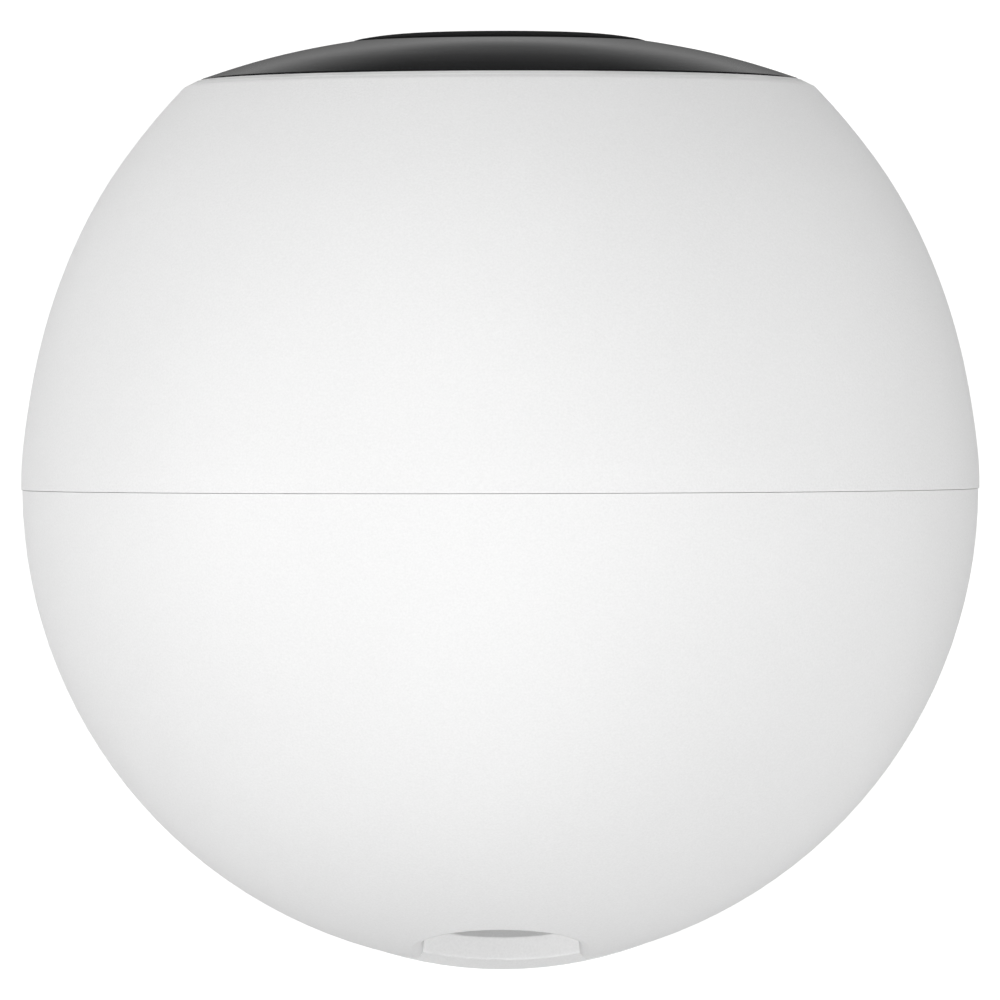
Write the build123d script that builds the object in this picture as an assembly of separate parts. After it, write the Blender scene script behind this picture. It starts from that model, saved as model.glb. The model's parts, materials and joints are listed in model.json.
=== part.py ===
from build123d import *
import math
import os

# ---------------------------------------------------------------------------
# Indoor pan and tilt security camera: a ball head on a dished round base.
# Millimetres, +Z up. Origin: pan axis at the underside of the base.
# The lens looks along -Y at rest. Hidden working parts follow common practice.
# ---------------------------------------------------------------------------

# --- driving dimensions ----------------------------------------------------
BALL_R = 40.04            # rear half of the ball head
SEAM_R = 40.14            # front half at the seam
SHELL_IN = 37.70          # inner radius of the shells
BALL_Y = -6.7             # ball centre lies this far in front of the pan axis
BALL_Z = 70.0             # ball centre above the table
SEAM = -0.07              # seam plane, forward distance from the ball centre
SEAM_GAP = 0.02           # half of the gap between the two shells

LIP_R = 25.25             # inner radius of the smooth trim ring around the dark cover
TRIM_R = 25.86            # its outer radius
DOME_RHO = 74.7           # crown radius of the dark cover
DOME_TOP = 38.56          # its apex, forward of the ball centre
DOME_R = 25.13            # its outer radius
WINDOW_R = 12.3           # raised round lens bezel

SLOT_HALF = 6.55          # half width of the tilt slot
SLOT_TOP = 9.9            # centre of its round upper end above the ball centre
SLOT_FRONT = 3.9          # centre of its round front end, forward of the centre
SLOT_ROUND = 0.7          # rounding along the slot's outer edge

NECK_R = 5.5              # neck column
FORK_IN, FORK_OUT = 33.8, 35.7      # fork band that hugs the chassis
FORK_HALF = 5.5
COVER_IN, COVER_OUT = 35.8, 36.5    # sliding slot cover
COVER_HALF = 9.5
CHASSIS_R = 33.2
CHASSIS_WALL = 1.6
NECK_TILT = math.degrees(math.asin(-BALL_Y / 39.0))   # fork leans to meet the neck

RIM_Z = 36.0              # base rim height
RIM_IN, RIM_OUT, BASE_TOP_R, BASE_BOT_R = 32.9, 34.96, 35.84, 36.45
INLET_HALF = 2.89         # half distance between the round ends of the power inlet
SHAFT_R = 8.0             # pan shaft
SHAFT_FIT = 0.05          # radial running clearance

PAN_M, PAN_GEAR_T, PAN_PINION_T = 0.6, 66, 15
TILT_M, TILT_GEAR_T, TILT_PINION_T = 0.5, 48, 14
PIN_R = 2.5               # tilt pins
PIN_FIT = 0.06

os.makedirs("parts", exist_ok=True)
made = {}


def save(name, shape):
    """Write one node; a group is kept as a compound of its solids."""
    solids = list(shape.solids())
    out = solids[0] if len(solids) == 1 else Compound(children=solids)
    made[name] = out
    export_step(out, f"parts/{name}.step")


def head(shape):
    """Lens frame (x, y up, z forward) to the row frame."""
    return Pos(0, BALL_Y, BALL_Z) * Rot(90, 0, 0) * shape


def revolved(edges):
    """Closed profile in the XZ plane, turned about Z."""
    return revolve(make_face(Wire(edges)), Axis.Z, 360)


def poly(*pts):
    """Closed (r, z) polygon turned about Z."""
    p = [Vector(r, 0, z) for r, z in pts]
    w = Wire.make_polygon(p, close=True)
    return revolve(Face(w), Axis.Z, 360)


def ring(r0, r1, z0, z1):
    return poly((r0, z0), (r1, z0), (r1, z1), (r0, z1))


def rod(r, z0, z1, x=0.0, y=0.0):
    return Pos(x, y, (z0 + z1) / 2) * Cylinder(r, z1 - z0)


def rod_x(r, x0, x1, y=0.0, z=0.0):
    return Pos((x0 + x1) / 2, y, z) * Rot(0, 90, 0) * Cylinder(r, x1 - x0)


def rod_y(r, y0, y1, x=0.0, z=0.0):
    return Pos(x, (y0 + y1) / 2, z) * Rot(90, 0, 0) * Cylinder(r, y1 - y0)


def block(x0, x1, y0, y1, z0, z1):
    return Pos((x0 + x1) / 2, (y0 + y1) / 2, (z0 + z1) / 2) * Box(x1 - x0, y1 - y0, z1 - z0)


def v3(r, z):
    return Vector(r, 0, z)


def arc3(a, b, c):
    return Edge.make_three_point_arc(v3(*a), v3(*b), v3(*c))


def seg(a, b):
    return Edge.make_line(v3(*a), v3(*b))


def gear_face(m, teeth, backlash, add, start_deg):
    """Involute spur gear outline; a tooth's centre points along start_deg."""
    a = math.radians(20)
    rp = m * teeth / 2
    rb, ra, rf = rp * math.cos(a), rp + add * m, rp - 1.25 * m
    inv = lambda t: math.tan(t) - t
    half = math.pi / (2 * teeth) - backlash / (2 * rp) + inv(a)
    flank = []
    low = max(rb, rf)
    for i in range(5):
        r = low + (ra - low) * i / 4
        t = math.acos(min(1.0, rb / r))
        flank.append((r, half - inv(t)))
    pts = []
    for k in range(teeth):
        c = math.radians(start_deg) + 2 * math.pi * k / teeth
        side = [(rf, flank[0][1])] + flank if rf < low - 1e-6 else flank
        for r, h in side:
            pts.append((r * math.cos(c - h), r * math.sin(c - h)))
        for r, h in reversed(side):
            pts.append((r * math.cos(c + h), r * math.sin(c + h)))
    return pts


def gear_z(m, teeth, backlash, add, start_deg, z0, z1):
    pts = [Vector(x, y, z0) for x, y in gear_face(m, teeth, backlash, add, start_deg)]
    return extrude(Face(Wire.make_polygon(pts, close=True)), amount=z1 - z0, dir=(0, 0, 1))


def gear_x(m, teeth, backlash, add, start_deg, x0, x1):
    pts = [Vector(x0, y, z) for y, z in gear_face(m, teeth, backlash, add, start_deg)]
    return extrude(Face(Wire.make_polygon(pts, close=True)), amount=x1 - x0, dir=(1, 0, 0))


def screw_z(x, y, z_head, z_tip, head_r=1.7, head_h=1.0, r=0.95, recess=True):
    """Pan-head screw along Z with a cross recess; the head is at z_head."""
    up = 1 if z_head > z_tip else -1
    zh = z_head - up * head_h
    s = rod(head_r, min(z_head, zh), max(z_head, zh), x, y) + rod(r, min(zh, z_tip), max(zh, z_tip), x, y)
    if recess:
        d = 0.5
        c = block(x - 0.95, x + 0.95, y - 0.22, y + 0.22, min(z_head, z_head - up * d), max(z_head, z_head - up * d))
        e = block(x - 0.22, x + 0.22, y - 0.95, y + 0.95, min(z_head, z_head - up * d), max(z_head, z_head - up * d))
        s = s - c - e
    return s


# ===========================================================================
# HEAD, in the lens frame
# ===========================================================================

# outer profile of the front half: a ball drawn out a little towards the lens
front_pts = [(SEAM_R, SEAM + SEAM_GAP), (39.69, 5.69), (38.39, 12.40), (36.14, 19.11),
             (32.65, 25.82), (28.89, 30.85), (26.74, 33.25)]
inner_pts = [(28.10, 27.60), (30.60, 24.90), (33.85, 18.80), (36.12, 12.10), (37.36, 5.69), (SHELL_IN, SEAM + SEAM_GAP)]
outer_edge = Edge.make_spline([v3(*p) for p in front_pts], tangents=[Vector(0.02, 0, 1), Vector(-0.69, 0, 0.72)])
inner_edge = Edge.make_spline([v3(*p) for p in inner_pts])
front_shell = revolved([
    outer_edge,
    seg((26.74, 33.25), (26.48, 33.52)),
    arc3((26.48, 33.52), (26.41, 33.58), (26.32, 33.63)),
    seg((26.32, 33.63), (25.97, 33.80)),
    arc3((25.97, 33.80), (25.92, 33.80), (25.90, 33.76)),
    seg((25.90, 33.76), (25.90, 32.50)),
    seg((25.90, 32.50), (23.60, 32.50)),
    seg((23.60, 32.50), (23.60, 30.90)),
    seg((23.60, 30.90), (26.20, 30.10)),
    seg((26.20, 30.10), (28.10, 27.60)),
    inner_edge,
    seg((SHELL_IN, SEAM + SEAM_GAP), (SEAM_R, SEAM + SEAM_GAP)),
])
# tongue that enters the rear shell, and the ledge that the chassis screws to
tongue = poly((37.0, -2.7), (37.4, -2.7), (37.6, -0.7), (37.6, 0.4), (37.9, 0.4), (37.9, 1.6), (37.0, 0.9))
ledge = ring(27.5, 31.4, 23.8, 25.6)
ledge = ledge - block(-10.6, 10.6, -32, -22, 23, 27) - block(-10.6, 10.6, 22, 32, 23, 27)
front_shell = front_shell + tongue + ledge
# snap barbs on the tongue; the rear shell has the matching pockets
BARB_AT = (30, 75, 105, 150, 215, 240, 300, 325)
barb = poly((37.2, -2.0), (37.75, -1.9), (37.95, -1.1), (37.2, -1.1)) & block(30, 45, -2.5, 2.5, -3, 0)
for a in BARB_AT:
    front_shell = front_shell + Rot(0, 0, a) * barb

front_slot = (block(-SLOT_HALF, SLOT_HALF, -46, -25, -4.0, SLOT_FRONT)
              + Pos(0, -35.5, SLOT_FRONT) * Rot(90, 0, 0) * Cylinder(SLOT_HALF, 21))
front_shell = front_shell - front_slot


def slot_edges(shape, r_low, r_high, test):
    """Outer edges of the slot: they lie on the ball's outer surface."""
    found = []
    for e in shape.edges():
        m = e.position_at(0.5)
        n = math.sqrt(m.X ** 2 + m.Y ** 2 + m.Z ** 2)
        if r_low < n < r_high and abs(m.X) <= SLOT_HALF + 0.05 and test(m):
            found.append(e)
    return found


def try_fillet(shape, edges, radius, label):
    for r in (radius, radius * 0.8, radius * 0.6, radius * 0.4):
        try:
            out = fillet(edges, r)
            if out.is_valid and len(out.solids()) == 1 and abs(out.volume - shape.volume) < 200:
                print(label, "rounded", round(r, 2))
                return out
        except Exception as err:
            print(label, "rounding", round(r, 2), "refused")
    return shape


fe = slot_edges(front_shell, 39.7, 40.6, lambda m: m.Y < -30 and m.Z > SEAM + 0.3)
front_shell = try_fillet(front_shell, fe, SLOT_ROUND, "front slot")

# card slot and button hole in the lower front, clear of the sliding cover
front_shell = front_shell - block(14.4, 15.9, -40, -24, 9.5, 20.9) - rod_y(1.75, -40, -24, -15.0, 15.5)
# pilot holes for the chassis screws
CH_SCREW = [(28.9 * math.cos(math.radians(a)), 28.9 * math.sin(math.radians(a))) for a in (40, 140, 220, 320)]
for x, y in CH_SCREW:
    front_shell = front_shell - rod(0.97, 23.0, 25.0, x, y)
save("front_shell", head(front_shell))

# smooth trim ring between the shell and the dark cover
trim = revolved([
    seg((LIP_R, 32.54), (TRIM_R, 32.54)),
    seg((TRIM_R, 32.54), (TRIM_R, 33.80)),
    arc3((TRIM_R, 33.80), (25.84, 33.85), (25.80, 33.88)),
    seg((25.80, 33.88), (25.42, 34.07)),
    arc3((25.42, 34.07), (25.31, 34.10), (LIP_R, 34.02)),
    seg((LIP_R, 34.02), (LIP_R, 32.54)),
])
save("cover_trim", head(trim))

rear = Sphere(BALL_R) - Sphere(SHELL_IN)
rear = rear & block(-45, 45, -45, 45, -45, SEAM - SEAM_GAP)
slot_cut = (block(-SLOT_HALF, SLOT_HALF, -46, SLOT_TOP, -46, 1)
            + Pos(0, SLOT_TOP, -22.5) * Cylinder(SLOT_HALF, 47))
rear = rear - slot_cut
re_ = slot_edges(rear, 39.9, 40.2, lambda m: m.Z < -0.4 and (m.Y < SLOT_TOP + SLOT_HALF + 0.5))
rear = try_fillet(rear, re_, SLOT_ROUND, "rear slot")
pocket = ring(37.3, 38.15, -2.2, -0.95) & block(30, 45, -2.9, 2.9, -3, 0)
for a in BARB_AT:
    rear = rear - Rot(0, 0, a) * pocket
save("rear_shell", head(rear))

# dark front cover with a round hole for the lens bezel and a pin hole for the microphone


def dome_z(r, rho=DOME_RHO, top=DOME_TOP):
    """Crown of the cover: a sphere that flattens a little towards the bezel."""
    u = max(0.0, (20.2 - r) / 7.75)
    return top - rho + math.sqrt(rho * rho - r * r) - 0.125 * u ** 1.7 * (1.5 - 0.5 * u)


DR = WINDOW_R + 0.15
EDGE = 24.88
di = lambda r: dome_z(r, DOME_RHO - 1.6, DOME_TOP - 1.6)
HOLE_EDGE = 12.75         # the hole's edge is chamfered
crown = [HOLE_EDGE, 13.5, 14.6, 16.0, 17.6, 19.4, 21.2, 23.0, EDGE]
slope = lambda r: (dome_z(r + 0.01) - dome_z(r - 0.01)) / 0.02
dome = revolved([
    Edge.make_spline([v3(r, dome_z(r)) for r in crown], tangents=[Vector(1, 0, slope(HOLE_EDGE)), Vector(1, 0, slope(EDGE))]),
    arc3((EDGE, dome_z(EDGE)), (25.07, dome_z(EDGE) - 0.12), (DOME_R, dome_z(EDGE) - 0.30)),
    seg((DOME_R, dome_z(EDGE) - 0.30), (DOME_R, 32.56)),
    seg((DOME_R, 32.56), (23.9, 32.56)),
    arc3((23.9, di(23.9)), (17.8, di(17.8)), (DR, di(DR))),
    seg((23.9, 32.56), (23.9, di(23.9))),
    seg((DR, di(DR)), (DR, dome_z(HOLE_EDGE) - 0.14)),
    seg((DR, dome_z(HOLE_EDGE) - 0.14), (HOLE_EDGE, dome_z(HOLE_EDGE))),
])
dome = dome - rod(0.45, 30, 40, 0, -21.0)
save("dome_cover", head(dome))

def cap_z(r, top, r1, z1):
    """Height of a spherical cap with its apex at top that passes through (r1, z1)."""
    h = top - z1
    rho = (r1 * r1 + h * h) / (2 * h)
    return top - rho + math.sqrt(rho * rho - r * r)


# round bezel around the lens window, with a funnel behind it
bezel = revolved([
    seg((6.35, 38.03), (6.9, 38.045)),
    arc3((6.9, 38.045), (9.15, 37.955), (11.4, 37.655)),
    arc3((11.4, 37.655), (11.85, 37.57), (12.14, 37.49)),
    arc3((12.14, 37.49), (12.265, 37.42), (WINDOW_R, 37.30)),
    seg((WINDOW_R, 37.30), (WINDOW_R, 36.45)),
    seg((WINDOW_R, 36.45), (11.5, 36.30)),
    seg((11.5, 36.30), (11.5, 35.2)),
    seg((11.5, 35.2), (10.1, 35.2)),
    seg((10.1, 35.2), (8.9, 32.4)),
    seg((8.9, 32.4), (7.3, 32.4)),
    seg((7.3, 32.4), (7.3, 33.6)),
    seg((7.3, 33.6), (5.6, 36.6)),
    seg((5.6, 36.6), (6.35, 36.6)),
    seg((6.35, 36.6), (6.35, 38.03)),
])
save("lens_bezel", head(bezel))

window = revolved([
    arc3((0, 38.14), (3.2, cap_z(3.2, 38.14, 6.05, 38.05)), (6.05, 38.05)),
    seg((6.05, 38.05), (6.25, 37.90)),
    seg((6.25, 37.90), (6.25, 36.66)),
    seg((6.25, 36.66), (0, 36.66)),
    seg((0, 36.66), (0, 38.14)),
])
save("lens_window", head(window))

# soft ring that keeps the infra-red light out of the lens
baffle = poly((10.3, 31.9), (13.3, 31.9), (13.3, 35.55), (12.9, 35.55), (12.4, 35.0), (10.3, 35.0))
save("light_baffle", head(baffle))

# ring board with emitters, sensor, status lamp and microphone
ir_board = ring(9.4, 22.9, 30.6, 31.8)
for x, y in ((20.6, 0), (-20.6, 0)):
    ir_board = ir_board - rod(0.9, 30, 32.5, x, y)
save("ir_board", head(ir_board))

leds = []
for k in range(8):
    ang = math.radians(22.5 + 45 * k)
    led = block(-1.4, 1.4, -1.4, 1.4, 31.8, 32.5) + Pos(0, 0, 32.5) * (Sphere(1.15) & block(-2, 2, -2, 2, 0, 2))
    leds.append((Rot(0, 0, math.degrees(ang)) * Pos(17.2, 0, 0) * led).solid())
save("ir_emitters", head(Compound(children=leds)))
save("light_sensor", head(block(-1.0, 1.0, 16.4, 18.4, 31.8, 32.9)))
save("status_lamp", head(block(-0.8, 0.8, 20.3, 21.9, 31.8, 32.4)))
save("microphone", head(rod(1.9, 29.2, 30.6, 0, -20.6)))

# lens: barrel with ribbed focus ring, front element, holder
barrel = poly((0, 20.5), (5.9, 20.5), (5.9, 26.2), (6.6, 26.2), (6.6, 31.6), (7.0, 31.6), (7.0, 33.2),
              (5.1, 33.2), (4.2, 31.4), (0, 31.4))
for k in range(24):
    barrel = barrel - Rot(0, 0, 15 * k) * Pos(7.0, 0, 32.4) * Box(0.35, 0.8, 1.7)
save("lens_barrel", head(barrel))
element = revolved([
    seg((0, 31.45), (4.1, 31.45)), seg((4.1, 31.45), (4.75, 32.75)),
    arc3((4.75, 32.75), (2.5, cap_z(2.5, 34.4, 4.75, 32.75)), (0, 34.4)), seg((0, 34.4), (0, 31.45)),
])
save("front_element", head(element))
holder = block(-9.2, 9.2, -9.2, 9.2, 13.8, 17.6) + rod(8.2, 17.6, 25.4)
holder = holder - rod(5.95, 18.2, 26) - block(-6.2, 6.2, -6.2, 6.2, 13.0, 15.6) - block(-9.0, 9.0, -5.4, 5.4, 15.6, 17.1)
holder = holder - rod(4.4, 17.0, 18.6)
save("lens_holder", head(holder))
sboard = block(-12.5, 12.5, -12.5, 12.5, 12.5, 13.75)
for sx in (-1, 1):
    for sy in (-1, 1):
        sboard = sboard - rod(0.85, 12, 14, sx * 10.9, sy * 10.9)
save("sensor_board", head(sboard))
save("image_sensor", head(block(-4.6, 4.6, -4.2, 4.2, 13.8, 15.1)))

# bracket across the mouth of the chassis: sensor board behind, ring board in front
bracket = ring(8.6, 27.0, 23.55, 24.75)
bracket = bracket - block(-10.6, 10.6, 23.3, 30, 23, 26) - block(-10.6, 10.6, -30, -23.3, 23, 26)
SB_POST = [(10.9, 10.9), (-10.9, 10.9), (10.9, -10.9), (-10.9, -10.9)]
for x, y in SB_POST:
    bracket = bracket + rod(1.5, 13.8, 23.6, x, y)
for x, y in ((20.6, 0), (-20.6, 0), (0, 20.6)):
    bracket = bracket + rod(1.8, 24.7, 30.55, x, y)
for x, y in SB_POST:
    bracket = bracket - rod(0.8, 13.0, 18.0, x, y)
for x, y in ((20.6, 0), (-20.6, 0)):
    bracket = bracket - rod(0.85, 26.0, 31.0, x, y)
BR_SCREW = [(25.0 * math.cos(math.radians(a)), 25.0 * math.sin(math.radians(a))) for a in (40, 140, 220, 320)]
for x, y in BR_SCREW:
    bracket = bracket - rod(1.1, 23, 26, x, y)
save("front_bracket", head(bracket))
small = [screw_z(x, y, 25.75, 22.3, 1.6, 0.95, 0.85).solid() for x, y in BR_SCREW]
small += [screw_z(x, y, 11.6, 17.0, 1.3, 0.85, 0.7, False).solid() for x, y in SB_POST]
small += [screw_z(x, y, 32.65, 27.0, 1.5, 0.8, 0.75, False).solid() for x, y in ((20.6, 0), (-20.6, 0))]
save("bracket_screws", head(Compound(children=small)))

# infra-red cut filter: a two-window slider that shifts sideways for night view
filt = block(-8.3, 3.3, -4.9, 4.9, 15.9, 16.5)
filt = filt - block(-7.6, -3.0, -3.6, 3.6, 15.7, 16.7)
filt = filt + block(-7.7, -2.9, -3.7, 3.7, 16.08, 16.32)
save("ir_filter_slide", head(filt))
save("filter_coil", head(block(-5.0, 5.0, 10.1, 13.6, 14.2, 17.4)))

# chassis: closed inner bowl that carries everything and closes off the slot
cb = Sphere(CHASSIS_R) & block(-27.0, 32.1, -40, 40, -40, 23.5)
ci = Sphere(CHASSIS_R - CHASSIS_WALL) & block(-27.0 + CHASSIS_WALL, 30.5, -40, 40, -40, 30)
chassis = cb - ci
flange = ring(22.3, 30.9, 22.0, 23.5)
flange = flange - block(-10.6, 10.6, -32, -22, 21, 25) - block(-10.6, 10.6, 22, 32, 21, 25)
chassis = chassis + flange
# small re-entry: keep the flange joined to the bowl and the mouth open
chassis = chassis - rod(22.0, 20.5, 24)
chassis = chassis - rod_x(PIN_R + 0.02, -28, -24) - rod_x(PIN_R + 0.02, 30, 33)
chassis = chassis - rod_x(2.0, -28, -24, 15.5, 0)
chassis = chassis - block(12.3, 16.6, -33, -10.5, 8.9, 21.5) - rod_y(2.2, -33, -20, -15.0, 15.5)
for x, y in CH_SCREW:
    chassis = chassis - rod(1.15, 21, 24, x, y)
for x, y in [(25.0 * math.cos(math.radians(a)), 25.0 * math.sin(math.radians(a))) for a in (40, 140, 220, 320)]:
    chassis = chassis - rod(0.9, 20, 24, x, y)
# posts for the main board
MB_POST = [(17.2, 14.2), (-17.2, 14.2), (17.2, -14.2), (-17.2, -14.2)]
for x, y in MB_POST:
    post = rod(2.2, -28, -12.25, x, y) & Sphere(CHASSIS_R - 0.5)
    chassis = chassis + post
for x, y in MB_POST:
    chassis = chassis - rod(0.95, -18.0, -12.0, x, y)
save("inner_chassis", head(chassis))
save("chassis_screws", head(Compound(children=[screw_z(x, y, 20.9, 24.8, 1.7, 1.0, 0.9).solid() for x, y in CH_SCREW])))

# main board and what it carries
mb = block(-20.5, 20.5, -18, 18, -12.2, -11.0)
for sx in (-1, 1):
    for sy in (-1, 1):
        mb = mb - Pos(sx * 20.5, sy * 18, -11.6) * Rot(0, 0, 45) * Box(4.5, 4.5, 3)
for x, y in MB_POST:
    mb = mb - rod(1.15, -13, -10, x, y)
save("main_board", head(mb))
save("board_screws", head(Compound(children=[screw_z(x, y, -9.95, -17.0, 1.7, 1.0, 0.9).solid() for x, y in MB_POST])))
save("processor", head(block(-6, 8, -4, 10, -11.0, -9.7)))
hs = block(-8, 10, -6, 12, -9.65, -8.4)
for k in range(7):
    hs = hs + block(-8 + 2.8 * k, -6.8 + 2.8 * k, -6, 12, -8.4, -3.6)
save("heat_sink", head(hs))
save("wifi_module", head(block(-8, 6, -16.5, -7, -11.0, -8.6)))
save("wifi_antenna", head(block(-15, 15, 25.3, 25.8, -8, 0)))
save("sd_socket", head(block(14.0, 16.2, -27.3, -17.4, 9.1, 21.3) - block(14.6, 15.7, -28, -18.5, 9.6, 20.8)))
save("side_board", head(block(12.7, 13.6, -26.5, -14.0, 9.2, 21.2)))

# setup button under the lens, with its switch
save("setup_switch", head(block(-17.5, -12.5, -18.6, -15.6, 13.0, 18.0)))
btn = rod_y(1.45, -32.55, -19.0, -15.0, 15.5) + rod_y(2.0, -25.2, -24.2, -15.0, 15.5)
save("setup_button", head(btn))

# tilt drive in the chassis wall
tm = rod_x(9.5, -24.0, -15.0, 10.5, 0) + rod_x(3.0, -25.2, -24.0, 15.5, 0)
tm = tm + block(-24.0, -23.2, 9.0, 12.0, -13.0, 13.0) - rod_x(1.05, -25.5, -18.0, 15.5, 0)
save("tilt_motor", head(tm))
TPD = TILT_M * (TILT_GEAR_T + TILT_PINION_T) / 2
tp = Pos(0, TPD, 0) * gear_x(TILT_M, TILT_PINION_T, 0.12, 0.85, 180 + 180 / TILT_PINION_T, -30.5, -27.5)
tp = tp + rod_x(1.0, -30.9, -18.4, TPD, 0)
save("tilt_pinion", head(tp))

# tilt pins, pressed in the chassis walls
pinl = rod_x(PIN_R, -35.6, -24.6) + rod_x(4.0, -25.35, -24.6)
pinr = rod_x(PIN_R, 29.7, 35.6) + rod_x(4.0, 29.7, 30.45)
save("tilt_pins", head(Compound(children=[pinl.solid(), pinr.solid()])))

# ===========================================================================
# NECK: fork inside the head, column, shaft in the base
# ===========================================================================


def fork_frame(shape):
    """Fork drawn with its arms pointing down in the lens frame, leaned back to meet the neck."""
    return head(Rot(NECK_TILT, 0, 0) * shape)


band = (Sphere(FORK_OUT) - Sphere(FORK_IN)) & block(-40, 40, -40, 0, -FORK_HALF, FORK_HALF)
bossl = rod_x(6.2, -35.7, -32.5)
bossr = rod_x(6.2, 32.7, 35.7)
fork = band + (bossl & Sphere(36.3)) + (bossr & Sphere(36.3))
fork = fork - rod_x(3.62, -37, -31) - rod_x(3.62, 31, 37)
fork = fork_frame(fork)
column = rod(NECK_R, 26.9, 45.0, 0, 0) - Pos(0, BALL_Y, BALL_Z) * Sphere(FORK_IN)
flare = revolved([
    seg((0.5, 28.4), (9.6, 28.4)), arc3((9.6, 28.4), (6.9, 29.1), (NECK_R - 0.01, 30.9)),
    seg((NECK_R - 0.01, 30.9), (0.5, 30.9)), seg((0.5, 30.9), (0.5, 28.4)),
])
flare = flare - Pos(0, BALL_Y, BALL_Z) * Sphere(BALL_R + 1.1)
table = poly((0.5, 26.9), (10.1, 26.9), (10.3, 27.1), (10.3, 28.2), (10.1, 28.4), (0.5, 28.4))
shaft = rod(SHAFT_R, 13.6, 26.9)
neck = fork + column + table + flare + shaft
# cable way up the middle, into the fork
neck = neck - rod(3.2, 13.0, 43.0, 0, 0)
for a in (90, 210, 330):
    neck = neck - rod(0.9, 13.0, 20.0, 5.6 * math.cos(math.radians(a)), 5.6 * math.sin(math.radians(a)))
save("neck_fork", neck)

# curved cover that rides on the neck and hides the slot
cover = (Sphere(COVER_OUT) - Sphere(COVER_IN)) & block(-COVER_HALF, COVER_HALF, -40, 40, -40, 40)
# keep the sector from 43 degrees above the rear horizon to 121 degrees below it
wedge_pts = [Vector(0, 0, 0)]
for k in range(0, 13):
    t = math.radians(43 - (43 + 121) * k / 12)
    wedge_pts.append(Vector(0, 60 * math.sin(t), -60 * math.cos(t)))
wedge = extrude(Face(Wire.make_polygon(wedge_pts, close=True)), amount=40, dir=(1, 0, 0), both=True)
cover = head(cover & wedge)
cover = cover - rod(NECK_R + 0.05, 20, 50, 0, 0)
save("slot_cover", cover)

# tilt gear, fixed to the left arm
tg = gear_x(TILT_M, TILT_GEAR_T, 0.12, 0.85, 0.0, -30.2, -27.9) + rod_x(6.2, -32.45, -30.2)
tg = tg - rod_x(2.9, -33, -27)
for k in range(6):
    a = math.radians(60 * k + 30)
    tg = tg - rod_x(1.9, -30.4, -27, 8.7 * math.cos(a), 8.7 * math.sin(a))
save("tilt_gear", head(tg))
bush = lambda a, b: (rod_x(3.58, a, b) - rod_x(PIN_R + PIN_FIT, a - 1, b + 1))
save("tilt_bushes", head(Compound(children=[bush(-35.7, -32.5).solid(), bush(32.7, 35.7).solid()])))

# pan gear on the shaft's lower end
pg = gear_z(PAN_M, PAN_GEAR_T, 0.12, 0.85, -90.0, 15.0, 18.0) + rod(11.0, 12.5, 15.0)
pg = pg - rod(SHAFT_R + 0.03, 13.55, 19) - rod(3.4, 12, 14)
for a in (90, 210, 330):
    pg = pg - rod(1.1, 12, 14, 5.6 * math.cos(math.radians(a)), 5.6 * math.sin(math.radians(a)))
for k in range(6):
    a = math.radians(60 * k)
    pg = pg - rod(2.6, 14, 19, 15.0 * math.cos(a), 15.0 * math.sin(a))
save("pan_gear", pg)
save("pan_gear_screws", Compound(children=[
    screw_z(5.6 * math.cos(math.radians(a)), 5.6 * math.sin(math.radians(a)), 11.4, 18.0, 1.7, 1.0, 0.85).solid()
    for a in (90, 210, 330)]))
# wiring bundle in the hollow neck
save("neck_cable", rod(1.7, 12.2, 35.0, 0, 0))

# ===========================================================================
# BASE
# ===========================================================================
PPD = PAN_M * (PAN_GEAR_T + PAN_PINION_T) / 2

housing = revolved([
    seg((34.10, 0.8), (35.90, 0.8)),
    arc3((35.90, 0.8), (36.25, 0.95), (BASE_BOT_R, 1.3)),
    seg((BASE_BOT_R, 1.3), (BASE_TOP_R, 34.80)),
    seg((BASE_TOP_R, 34.80), (35.08, 35.80)),
    arc3((35.08, 35.80), (34.98, 35.93), (34.80, RIM_Z)),
    seg((34.80, RIM_Z), (33.10, RIM_Z)),
    arc3((33.10, RIM_Z), (33.01, 35.98), (32.94, 35.92)),
    seg((32.94, 35.92), (32.25, 34.80)),
    arc3((32.25, 34.80), (23.0, 30.95), (12.4, 28.25)),
    seg((12.4, 28.25), (10.62, 28.05)),
    seg((10.62, 28.05), (10.62, 26.60)),
    seg((10.62, 26.60), (SHAFT_R + SHAFT_FIT, 26.60)),
    seg((SHAFT_R + SHAFT_FIT, 26.60), (SHAFT_R + SHAFT_FIT, 19.1)),
    seg((SHAFT_R + SHAFT_FIT, 19.1), (11.0, 19.1)),
    seg((11.0, 19.1), (11.0, 25.0)),
    seg((11.0, 25.0), (13.4, 26.1)),
    arc3((13.4, 26.1), (22.4, 28.6), (31.0, 32.4)),
    seg((31.0, 32.4), (33.0, 32.9)),
    seg((33.0, 32.9), (33.45, 32.0)),
    seg((33.45, 32.0), (34.10, 3.6)),
    seg((34.10, 3.6), (34.10, 0.8)),
])
POSTS = [(29.4 * math.cos(math.radians(a)), 29.4 * math.sin(math.radians(a))) for a in (45, 135, 225, 315)]
# the posts end inside the thickness of the dish
post_room = revolved([
    seg((24.0, 2.0), (33.2, 2.0)),
    seg((33.2, 2.0), (33.2, 33.7)),
    seg((33.2, 33.7), (29.0, 32.35)),
    seg((29.0, 32.35), (24.0, 30.2)),
    seg((24.0, 30.2), (24.0, 2.0)),
])
for x, y in POSTS:
    housing = housing + (rod(2.7, 3.5, 34.0, x, y) & post_room)
for x, y in POSTS:
    housing = housing - rod(1.0, 3.0, 12.0, x, y)
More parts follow.
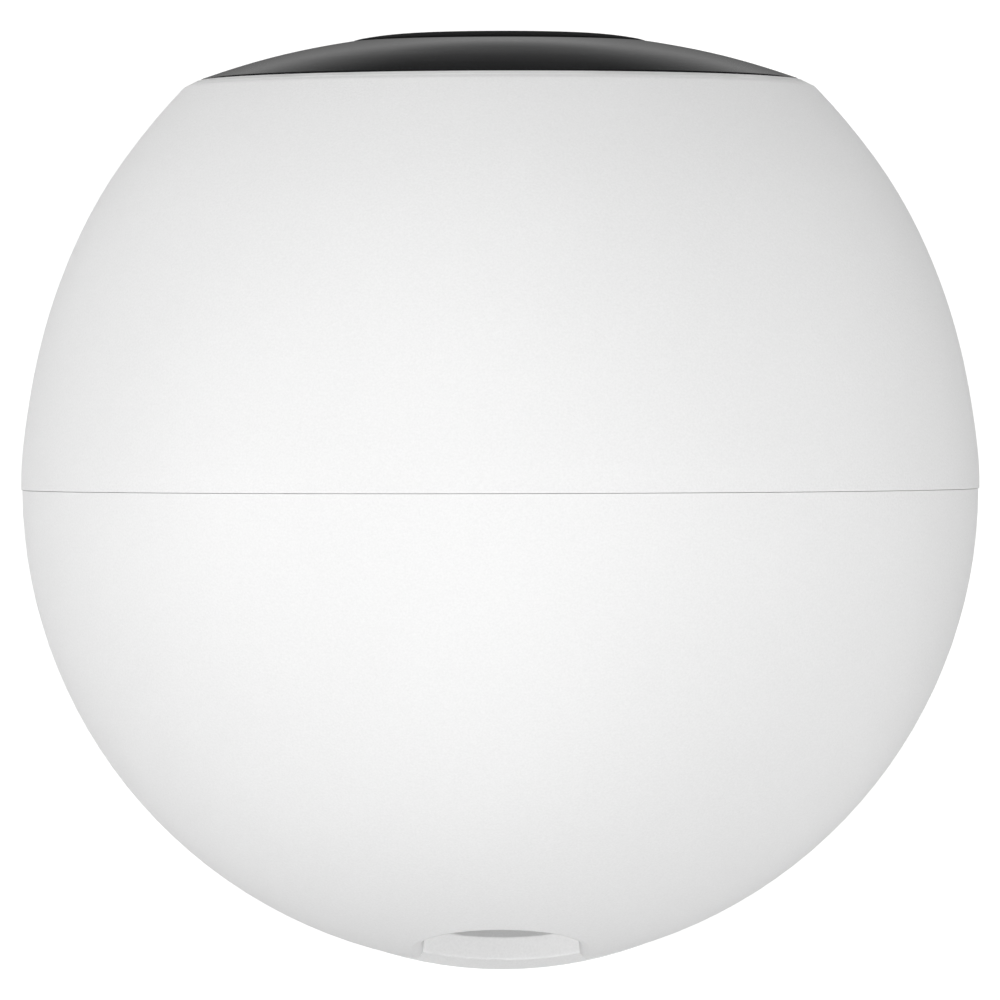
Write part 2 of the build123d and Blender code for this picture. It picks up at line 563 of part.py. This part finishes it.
# power inlet mouth at the rear, and the sound holes above it
inlet = block(-INLET_HALF, INLET_HALF, 30, 38, 8.9, 12.7) + rod_y(1.9, 30, 38, -INLET_HALF, 10.8) + rod_y(1.9, 30, 38, INLET_HALF, 10.8)
housing = housing - inlet
for row, cols in ((-2, 3), (-1, 4), (0, 5), (1, 4), (2, 3)):
    for c in range(cols):
        housing = housing - rod_y(0.65, 30.5, 38, (c - (cols - 1) / 2) * 2.6, 22.0 + row * 2.3)
save("base_housing", housing)

plate = poly((5.05, 0.8), (24.4, 0.8), (24.4, 1.6), (31.1, 1.6), (31.1, 0.8), (33.6, 0.8), (33.9, 1.1), (33.9, 3.4),
             (7.8, 3.4), (7.8, 9.2), (5.05, 9.2))
for x, y in POSTS:
    plate = plate - rod(2.1, 1.5, 2.6, x, y) - rod(1.2, 1.5, 4.0, x, y)
save("base_plate", plate)
save("foot_ring", poly((24.5, 0.3), (24.8, 0.0), (30.7, 0.0), (31.0, 0.3), (31.0, 1.58), (24.5, 1.58)))
save("base_screws", Compound(children=[screw_z(x, y, 1.66, 10.5, 1.9, 0.9, 0.93).solid() for x, y in POSTS]))
insert = poly((2.56, 0.5), (4.6, 0.5), (4.98, 0.8), (4.98, 9.1), (0, 9.1), (0, 8.0), (2.56, 8.0))
save("tripod_insert", insert)

ballast = ring(8.2, 31.6, 3.5, 6.3)
ballast = ballast - block(-12.0, 12.0, -34, -4, 3, 7)
for x, y in POSTS:
    ballast = ballast - rod(3.1, 3, 7, x, y)
save("ballast_plate", ballast)

board = block(-15, 15, 13.5, 29.2, 7.7, 8.9)
for sx in (-1, 1):
    board = board - rod(1.1, 7, 10, sx * 12.6, 16.0)
save("base_board", board)
IH, IR = INLET_HALF, 1.28
sock = block(-IH, IH, 27.6, 35.5, 10.8 - 1.58, 10.8 + 1.58) + rod_y(1.58, 27.6, 35.5, -IH, 10.8) + rod_y(1.58, 27.6, 35.5, IH, 10.8)
sock = sock - (block(-IH, IH, 29.0, 36, 10.8 - IR, 10.8 + IR) + rod_y(IR, 29.0, 36, -IH, 10.8) + rod_y(IR, 29.0, 36, IH, 10.8))
sock = sock + block(-3.3, 3.3, 28.9, 34.9, 10.45, 11.15) + block(-3.4, 3.4, 27.6, 31.5, 8.92, 9.4)
save("power_inlet", sock)
sp = rod_y(8.2, 26.4, 29.2, 0, 22.0) + rod_y(9.0, 29.2, 30.4, 0, 22.0) - rod_y(7.4, 29.9, 31, 0, 22.0)
sp = sp + rod_y(3.0, 29.2, 30.2, 0, 22.0)
save("speaker", sp)

pm = rod(9.5, 3.5, 12.0, 0, -(PPD - 5.0)) + rod(3.0, 12.0, 13.0, 0, -PPD)
pm = pm + block(-13.4, 13.4, -PPD + 3.4, -PPD + 6.4, 11.2, 12.0) - rod(1.05, 6.0, 14.0, 0, -PPD)
save("pan_motor", pm)
pp = Pos(0, -PPD, 0) * gear_z(PAN_M, PAN_PINION_T, 0.12, 0.85, 90 + 180 / PAN_PINION_T, 14.6, 18.4)
pp = pp + rod(1.0, 6.5, 18.8, 0, -PPD)
save("pan_pinion", pp)
save("thrust_washer", ring(SHAFT_R + 0.08, 10.6, 18.1, 19.05))

allv = Compound(children=list(made.values()))
bb = allv.bounding_box()
print("nodes", len(made), "size", [round(v, 2) for v in (bb.size.X, bb.size.Y, bb.size.Z)],
      "low", [round(v, 2) for v in (bb.min.X, bb.min.Y, bb.min.Z)])
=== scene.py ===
import bpy
import json
import math
from mathutils import Matrix, Vector

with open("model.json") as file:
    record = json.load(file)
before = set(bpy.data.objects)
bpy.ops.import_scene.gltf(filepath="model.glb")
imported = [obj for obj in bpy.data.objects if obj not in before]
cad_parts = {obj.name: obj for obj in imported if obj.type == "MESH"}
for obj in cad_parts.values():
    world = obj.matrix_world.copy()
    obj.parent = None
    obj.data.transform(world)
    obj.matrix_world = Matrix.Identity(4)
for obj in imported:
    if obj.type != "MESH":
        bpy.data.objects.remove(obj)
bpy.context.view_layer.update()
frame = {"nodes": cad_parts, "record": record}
NODES = frame["nodes"]

# ---------------------------------------------------------------------------
# Shared places, in metres (the same frame as the CAD)
# ---------------------------------------------------------------------------
BALL = Vector((0.0, -0.0067, 0.0700))


# ---------------------------------------------------------------------------
# Materials: all procedural, in object space
# ---------------------------------------------------------------------------
class Nodes:
    """Small helper around one material's node tree."""

    def __init__(self, name):
        self.mat = bpy.data.materials.new(name)
        self.mat.use_nodes = True
        self.tree = self.mat.node_tree
        self.tree.nodes.clear()
        self.out = self.new("ShaderNodeOutputMaterial")
        self.bsdf = self.new("ShaderNodeBsdfPrincipled")
        self.link(self.bsdf.outputs[0], self.out.inputs[0])
        self.coord = self.new("ShaderNodeTexCoord").outputs["Object"]

    def new(self, kind, **values):
        n = self.tree.nodes.new(kind)
        for k, v in values.items():
            setattr(n, k, v)
        return n

    def link(self, a, b):
        self.tree.links.new(a, b)

    def set(self, **values):
        for k, v in values.items():
            self.bsdf.inputs[k.replace("_", " ")].default_value = v
        return self

    def mapped(self, scale=(1, 1, 1), rotation=(0, 0, 0), location=(0, 0, 0)):
        m = self.new("ShaderNodeMapping")
        m.inputs["Scale"].default_value = scale
        m.inputs["Rotation"].default_value = rotation
        m.inputs["Location"].default_value = location
        self.link(self.coord, m.inputs["Vector"])
        return m.outputs[0]

    def noise(self, scale, detail=2.0, rough=0.5, vector=None, distortion=0.0):
        n = self.new("ShaderNodeTexNoise")
        n.inputs["Scale"].default_value = scale
        n.inputs["Detail"].default_value = detail
        n.inputs["Roughness"].default_value = rough
        n.inputs["Distortion"].default_value = distortion
        self.link(vector or self.coord, n.inputs["Vector"])
        return n.outputs["Fac"]

    def voronoi(self, scale, vector=None, feature="F1", randomness=1.0):
        n = self.new("ShaderNodeTexVoronoi", feature=feature)
        n.inputs["Scale"].default_value = scale
        n.inputs["Randomness"].default_value = randomness
        self.link(vector or self.coord, n.inputs["Vector"])
        return n.outputs["Distance"]

    def ramp(self, value, stops):
        r = self.new("ShaderNodeValToRGB")
        e = r.color_ramp.elements
        while len(e) < len(stops):
            e.new(0.5)
        for el, (p, c) in zip(e, stops):
            el.position = p
            el.color = (c, c, c, 1) if isinstance(c, (int, float)) else (*c, 1)
        self.link(value, r.inputs[0])
        return r.outputs[0]

    def range(self, value, a, b, lo=0.0, hi=1.0):
        m = self.new("ShaderNodeMapRange")
        m.inputs["From Min"].default_value = lo
        m.inputs["From Max"].default_value = hi
        m.inputs["To Min"].default_value = a
        m.inputs["To Max"].default_value = b
        self.link(value, m.inputs["Value"])
        return m.outputs[0]

    def math(self, op, a, b):
        m = self.new("ShaderNodeMath", operation=op)
        for i, x in enumerate((a, b)):
            if isinstance(x, (int, float)):
                m.inputs[i].default_value = x
            else:
                self.link(x, m.inputs[i])
        return m.outputs[0]

    def bump(self, height, strength, distance, under=None):
        b = self.new("ShaderNodeBump")
        b.inputs["Strength"].default_value = strength
        b.inputs["Distance"].default_value = distance
        self.link(height, b.inputs["Height"])
        if under is not None:
            self.link(under, b.inputs["Normal"])
        self.link(b.outputs[0], self.bsdf.inputs["Normal"])
        return b.outputs[0]

    def colour(self, socket):
        self.link(socket, self.bsdf.inputs["Base Color"])

    def rough(self, socket):
        self.link(socket, self.bsdf.inputs["Roughness"])


def tint(c, k):
    return tuple(min(1.0, x * k) for x in c)


def spark_plastic(name, colour, rough=0.55, grain=5200.0, depth=0.000011, spec=0.5, even=0.5):
    """Moulded plastic with a fine spark-eroded texture; even from 0 to 1 is how little its sheen drifts."""
    n = Nodes(name)
    n.set(Specular_IOR_Level=spec)
    fine = n.noise(grain, 3.0, 0.6)
    cells = n.voronoi(grain * 0.8)
    n.bump(n.math("ADD", fine, n.math("MULTIPLY", cells, 0.5)), 0.8, depth)
    cloud = n.noise(38.0, 3.0, 0.55)
    speck = n.noise(grain * 1.15, 2.0, 0.5)
    mixed = n.math("ADD", n.math("MULTIPLY", cloud, 0.22), n.math("MULTIPLY", speck, 0.78))
    n.colour(n.ramp(mixed, [(0.30, tint(colour, 0.966)), (0.70, tint(colour, 1.029))]))
    n.rough(n.range(n.math("ADD", n.math("MULTIPLY", fine, even), n.math("MULTIPLY", cloud, 1.0 - even)), rough - 0.06, rough + 0.07, 0.3, 0.7))
    return n.mat


def smooth_plastic(name, colour, rough=0.35, coat=0.0, depth=0.000004, spec=0.5):
    """Polished moulding: faint flow unevenness and very fine haze."""
    n = Nodes(name)
    n.set(Specular_IOR_Level=spec, Coat_Weight=coat, Coat_Roughness=0.06)
    wave = n.noise(55.0, 2.0, 0.5)
    haze = n.noise(2600.0, 2.0, 0.5)
    n.bump(n.math("ADD", n.math("MULTIPLY", wave, 3.0), n.math("MULTIPLY", haze, 0.03)), 0.25, depth)
    n.colour(n.ramp(n.noise(120.0, 3.0, 0.5), [(0.3, tint(colour, 0.9)), (0.7, tint(colour, 1.12))]))
    n.rough(n.range(haze, rough - 0.02, rough + 0.05, 0.3, 0.7))
    return n.mat


def rubber(name, colour):
    n = Nodes(name)
    n.set(Specular_IOR_Level=0.3)
    fine = n.noise(3800.0, 4.0, 0.65)
    dust = n.noise(260.0, 4.0, 0.6)
    n.bump(fine, 0.9, 0.00003)
    n.colour(n.ramp(n.math("ADD", n.math("MULTIPLY", dust, 0.7), n.math("MULTIPLY", fine, 0.3)),
                    [(0.3, tint(colour, 0.8)), (0.72, tint(colour, 1.3))]))
    n.rough(n.range(dust, 0.72, 0.92, 0.3, 0.7))
    return n.mat


def metal(name, colour, rough=0.3, stretch=(1, 1, 1), scale=900.0, depth=0.000006, blotch=0.06):
    """Metal with a drawn or plated grain; stretch squeezes the noise along one way."""
    n = Nodes(name)
    n.set(Metallic=1.0)
    grain = n.noise(scale, 3.0, 0.6, n.mapped(stretch))
    plate = n.noise(190.0, 3.0, 0.55)
    n.bump(grain, 0.5, depth)
    n.colour(n.ramp(plate, [(0.3, tint(colour, 1 - blotch)), (0.7, tint(colour, 1 + blotch))]))
    n.rough(n.range(n.math("ADD", n.math("MULTIPLY", grain, 0.6), n.math("MULTIPLY", plate, 0.4)), rough - 0.08, rough + 0.12, 0.3, 0.7))
    return n.mat


def board(name, mask=(0.012, 0.085, 0.035)):
    """Solder mask over copper tracks, with bright pads and vias."""
    n = Nodes(name)
    n.set(Specular_IOR_Level=0.5)
    tracks = n.new("ShaderNodeTexBrick", offset=0.37, squash=1.7, squash_frequency=3)
    tracks.inputs["Scale"].default_value = 260.0
    tracks.inputs["Mortar Size"].default_value = 0.16
    tracks.inputs["Color1"].default_value = (*mask, 1)
    tracks.inputs["Color2"].default_value = (*tint(mask, 1.25), 1)
    tracks.inputs["Mortar"].default_value = (*tint(mask, 1.9), 1)
    n.link(n.mapped((1, 1, 1), (0.0, 0.0, 0.0)), tracks.inputs["Vector"])
    pads = n.ramp(n.voronoi(420.0, None, "F1", 0.35), [(0.16, 1.0), (0.20, 0.0)])
    mix = n.new("ShaderNodeMix", data_type="RGBA")
    n.link(pads, mix.inputs["Factor"])
    n.link(tracks.outputs["Color"], mix.inputs[6])
    mix.inputs[7].default_value = (0.72, 0.66, 0.48, 1)
    n.colour(mix.outputs[2])
    n.link(n.math("MULTIPLY", pads, 0.9), n.bsdf.inputs["Metallic"])
    n.bump(tracks.outputs["Fac"], 0.5, 0.00003)
    n.rough(n.range(n.noise(900.0), 0.3, 0.45, 0.3, 0.7))
    return n.mat


def glass(name, colour, rough=0.0, tinted=(0.9, 0.9, 0.9), coat_tint=(0.75, 0.8, 1.0)):
    """Coated optical glass: clear body, faint cleaning haze."""
    n = Nodes(name)
    n.set(Transmission_Weight=1.0, IOR=1.52, Coat_Weight=0.35, Coat_Roughness=0.02, Coat_Tint=(*coat_tint, 1))
    n.colour(n.ramp(n.noise(160.0, 3.0, 0.5), [(0.3, tint(tinted, 0.96)), (0.7, tint(tinted, 1.04))]))
    n.rough(n.range(n.noise(420.0, 4.0, 0.6), rough, rough + 0.03, 0.45, 0.8))
    return n.mat


MATERIALS = {
    "shell_white": spark_plastic("shell_white", (0.825, 0.825, 0.825), 0.56, 5200.0, 0.000019),
    "base_white": spark_plastic("base_white", (0.772, 0.772, 0.772), 0.20, 4700.0, 0.000003, 0.5, 0.95),
    "slot_grey": spark_plastic("slot_grey", (0.60, 0.60, 0.60), 0.6, 4200.0),
    "smoked_cover": smooth_plastic("smoked_cover", (0.0075, 0.0078, 0.0085), 0.07, 0.0, 0.000003),
    "trim_smooth": smooth_plastic("trim_smooth", (0.785, 0.785, 0.785), 0.34),
    "bezel_black": spark_plastic("bezel_black", (0.0085, 0.0085, 0.009), 0.55, 6000.0, 0.000006, 0.05),
    "lens_glass": glass("lens_glass", (1, 1, 1)),
    "inner_grey": spark_plastic("inner_grey", (0.30, 0.30, 0.31), 0.6, 3600.0),
    "inner_black": spark_plastic("inner_black", (0.016, 0.016, 0.018), 0.6, 3600.0),
    "circuit_board": board("circuit_board"),
    "chip_black": spark_plastic("chip_black", (0.020, 0.020, 0.022), 0.5, 5000.0),
    "emitter_clear": smooth_plastic("emitter_clear", (0.55, 0.58, 0.66), 0.12, 0.3),
    "steel": metal("steel", (0.56, 0.57, 0.59), 0.32, (1, 1, 8)),
    "tin_plate": metal("tin_plate", (0.66, 0.66, 0.67), 0.34, (1, 6, 1)),
    "brass": metal("brass", (0.66, 0.48, 0.20), 0.28, (1, 1, 14)),
    "aluminium": metal("aluminium", (0.70, 0.71, 0.73), 0.36, (9, 1, 1)),
    "rubber_grey": rubber("rubber_grey", (0.085, 0.085, 0.09)),
    "rubber_black": rubber("rubber_black", (0.018, 0.018, 0.019)),
    "gear_white": smooth_plastic("gear_white", (0.74, 0.72, 0.64), 0.38),
}

for part in frame["record"]["subparts"]:
    node = NODES[part["node"]]
    node.data.materials.clear()
    node.data.materials.append(MATERIALS[part["material_slot"]])

# ---------------------------------------------------------------------------
# Floor, light, camera
# ---------------------------------------------------------------------------
WORLD = 0.322         # soft light from all round, above the horizon
# below the horizon, seen by mirror rays only: the dark table around the sheet
WORLD_LOW = [(0.0, 0.12), (0.015, 0.29), (0.021, 0.40), (0.027, 0.43), (0.033, 0.30), (0.045, 0.188), (0.051, 0.193),
             (0.069, 0.123), (0.087, 0.069), (0.10, 0.05), (0.20, 0.034), (0.485, 0.05)]
# the same towards the sides
WORLD_LOW_SIDE = [(0.0, 0.12), (0.015, 0.28), (0.024, 0.38), (0.030, 0.365), (0.045, 0.252), (0.063, 0.137),
                  (0.081, 0.056), (0.10, 0.045), (0.20, 0.034), (0.485, 0.05)]
WORLD_TURN = 0.02     # how far to the side the second list is reached
FLOOR_GLOW = 0.72     # the sheet that the camera sees, near the object
FLOOR_FAR = 0.75      # and far from it
FLOOR_BOUNCE = 0.073  # the light that the floor gives back besides its own shading
# soft boxes: name, height above the horizon and bearing from +X, both in degrees, width and height, power
KEYS = [("left_high", 58, 180, (0.7, 0.7), 2.93), ("back_high", 58, 146, (0.7, 0.7), 2.00),
        ("rim_strip", 58, 79, (0.35, 0.15), 1.85), ("front_high", 58, 300, (0.7, 0.7), 3.60),
        ("right_low", 25, 0, (0.7, 0.7), 5.02), ("left_low", 25, 180, (0.7, 0.7), 1.47), ("back_low", 25, 90, (0.7, 0.7), 1.60)]


def paper(name, colour, glow, far=None):
    n = Nodes(name + "_paper")
    n.set(Specular_IOR_Level=0.0, Emission_Color=(1, 1, 1, 1), Emission_Strength=glow)
    n.colour(n.ramp(n.noise(9.0, 2.0, 0.5), [(0.3, colour * 0.985), (0.7, colour * 1.015)]))
    n.rough(n.range(n.noise(30.0), 0.85, 0.95))
    if far is not None:
        reach = n.new("ShaderNodeVectorMath", operation="LENGTH")
        n.link(n.coord, reach.inputs[0])
        n.link(n.range(reach.outputs["Value"], glow, far, 0.25, 0.9), n.bsdf.inputs["Emission Strength"])
    return n.mat


def flat_floor(name, z, size, colour, glow):
    """A plain sheet of paper."""
    m = bpy.data.meshes.new(name)
    m.from_pydata([(-size, -size, z), (size, -size, z), (size, size, z), (-size, size, z)], [], [(0, 1, 2, 3)])
    o = bpy.data.objects.new(name, m)
    bpy.context.scene.collection.objects.link(o)
    m.materials.append(paper(name, colour, glow))
    return o


def cove(name, z, colour, glow, far):
    """A round sheet of paper that curves up into a wall all round."""
    line = [(0.2, z), (0.5, z), (1.2, z), (2.2, z)]
    line += [(2.2 + 0.8 * math.sin(t * math.pi / 16), z + 0.8 - 0.8 * math.cos(t * math.pi / 16)) for t in range(1, 9)]
    line += [(3.0, 3.0)]
    around = 72
    verts, faces = [(0.0, 0.0, z)], []
    for r, h in line:
        for k in range(around):
            a = 2 * math.pi * k / around
            verts.append((r * math.cos(a), r * math.sin(a), h))
    for k in range(around):
        k2 = (k + 1) % around
        faces.append((0, 1 + k, 1 + k2))
        for i in range(len(line) - 1):
            a, b = 1 + i * around, 1 + (i + 1) * around
            faces.append((a + k, b + k, b + k2, a + k2))
    m = bpy.data.meshes.new(name)
    m.from_pydata(verts, [], faces)
    for p in m.polygons:
        p.use_smooth = True
    o = bpy.data.objects.new(name, m)
    bpy.context.scene.collection.objects.link(o)
    m.materials.append(paper(name, colour, glow, far))
    return o


# the sheet in the picture, and the sheet that throws light back on the object
floor = cove("floor", -0.00005, 0.40, FLOOR_GLOW, FLOOR_FAR)
floor.visible_diffuse = floor.visible_glossy = floor.visible_transmission = floor.visible_shadow = False
bounce = flat_floor("floor_bounce", -0.0001, 3.0, 0.80, FLOOR_BOUNCE)
bounce.visible_camera = bounce.visible_glossy = bounce.visible_transmission = False

world = bpy.data.worlds.new("studio")
bpy.context.scene.world = world
world.use_nodes = True
wt = world.node_tree
sky = wt.nodes["Background"]
wc = wt.nodes.new("ShaderNodeTexCoord")
wx = wt.nodes.new("ShaderNodeSeparateXYZ")
wt.links.new(wc.outputs["Generated"], wx.inputs[0])
wm = wt.nodes.new("ShaderNodeMapRange")
wm.inputs["From Min"].default_value, wm.inputs["From Max"].default_value = -1.0, 1.0
wt.links.new(wx.outputs["Z"], wm.inputs["Value"])


def wramp(low):
    wr = wt.nodes.new("ShaderNodeValToRGB")
    stops = low + [(0.53, WORLD), (1.0, WORLD)]
    el = wr.color_ramp.elements
    while len(el) < len(stops):
        el.new(0.5)
    for e, (p, v) in zip(el, stops):
        e.position, e.color = p, (v, v, v, 1)
    wt.links.new(wm.outputs[0], wr.inputs[0])
    return wr.outputs[0]


def wmath(op, *values):
    m = wt.nodes.new("ShaderNodeMath")
    m.operation = op
    for i, x in enumerate(values):
        if isinstance(x, (int, float)):
            m.inputs[i].default_value = x
        else:
            wt.links.new(x, m.inputs[i])
    return m.outputs[0]


xx = wmath("MULTIPLY", wx.outputs["X"], wx.outputs["X"])
yy = wmath("MULTIPLY", wx.outputs["Y"], wx.outputs["Y"])
side = wmath("DIVIDE", xx, wmath("ADD", wmath("ADD", xx, yy), 0.0001))
side = wmath("MINIMUM", wmath("DIVIDE", side, WORLD_TURN), 1.0)
middle, sides = wramp(WORLD_LOW), wramp(WORLD_LOW_SIDE)
near = wmath("MULTIPLY", middle, wmath("SUBTRACT", 1.0, side))
wt.links.new(wmath("ADD", near, wmath("MULTIPLY", sides, side)), sky.inputs[0])


def area(name, place, size, power, target=BALL):
    light = bpy.data.lights.new(name, "AREA")
    light.shape = "ELLIPSE" if size[0] == size[1] else "RECTANGLE"
    light.size, light.size_y = size
    light.energy = power
    o = bpy.data.objects.new(name, light)
    o.location = place
    o.rotation_mode = "QUATERNION"
    o.rotation_quaternion = (Vector(target) - Vector(place)).to_track_quat("-Z", "Y")  # its width lies level
    bpy.context.scene.collection.objects.link(o)
    return o


for name, up_deg, round_deg, size, power in KEYS:
    e, a = math.radians(up_deg), math.radians(round_deg)
    area(name, BALL + 1.2 * Vector((math.cos(e) * math.cos(a), math.cos(e) * math.sin(a), math.sin(e))), size, power)

cam_data = bpy.data.cameras.new("camera")
cam = bpy.data.objects.new("camera", cam_data)
bpy.context.scene.collection.objects.link(cam)
bpy.context.scene.camera = cam
EYE = Vector((-0.0035, -0.0140, 0.850))
LOOK = Vector((0.00003, -0.0057, 0.0700))
cam_data.sensor_width = 36.0
cam_data.lens = 334.8
cam_data.clip_start, cam_data.clip_end = 0.01, 20.0
# the picture's top is the row's -Y and its right is -X
back = (EYE - LOOK).normalized()
roll = math.radians(0.12)
up = Vector((-math.sin(roll), -math.cos(roll), 0))
right = up.cross(back).normalized()
up = back.cross(right).normalized()
cam.location = EYE
cam.rotation_mode = "QUATERNION"
cam.rotation_quaternion = Matrix((right, up, back)).transposed().to_quaternion()

scene = bpy.context.scene
scene.view_settings.view_transform = "Standard"
scene.view_settings.look = "None"
